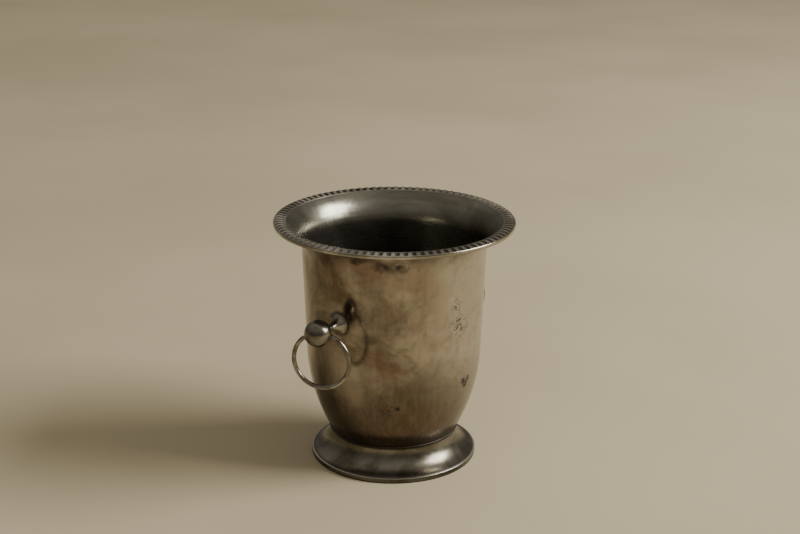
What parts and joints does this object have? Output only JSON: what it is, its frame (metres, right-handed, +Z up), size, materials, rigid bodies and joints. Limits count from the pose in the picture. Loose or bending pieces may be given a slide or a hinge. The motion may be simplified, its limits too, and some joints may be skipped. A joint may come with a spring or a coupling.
{
  "type": "champagne bucket",
  "caption": "Silver-plated champagne bucket with a gadrooned flared rim, a spread foot and ball handles with swinging wire rings.",
  "frame": {"origin": "centre of the foot's base, on the surface the bucket stands on", "axes": "+Z up along the bowl's axis, +X towards the right handle, +Y towards the back"},
  "size_m": [0.2374, 0.21, 0.2185],
  "materials": {
    "bowl_silver": "old silver plate with brown and greenish tarnish, softly reflective",
    "border_silver": "silver plate, worn light on the ridges and dark in the grooves",
    "foot_silver": "silver plate, grey and brighter than the bowl",
    "handle_silver": "silver plate, rubbed bright by handling",
    "fixing_brass": "plain dull brass"
  },
  "bodies": {
    "bucket": {"bowl": "bowl_silver", "rim_border": "border_silver", "foot": "foot_silver", "foot_edge_band": "foot_silver", "left_handle_post": "handle_silver", "left_handle_ball": "handle_silver", "right_handle_post": "handle_silver", "right_handle_ball": "handle_silver", "left_backing_washer": "fixing_brass", "left_fixing_screw": "fixing_brass", "right_backing_washer": "fixing_brass", "right_fixing_screw": "fixing_brass"},
    "left_ring": {"left_handle_ring": "handle_silver"},
    "right_ring": {"right_handle_ring": "handle_silver"}
  },
  "joints": [
    {"name": "left_ring_swing", "type": "hinge", "parent": "bucket", "child": "left_ring", "pos_m": [-0.1072, 0, 0.1404], "axis": [-0.3228, 0.9374, -0.1305], "range_deg": [-34.5, 214]},
    {"name": "right_ring_swing", "type": "hinge", "parent": "bucket", "child": "right_ring", "pos_m": [0.1072, 0, 0.1404], "axis": [0.3228, -0.9374, -0.1305], "range_deg": [-34.5, 214]}
  ]
}
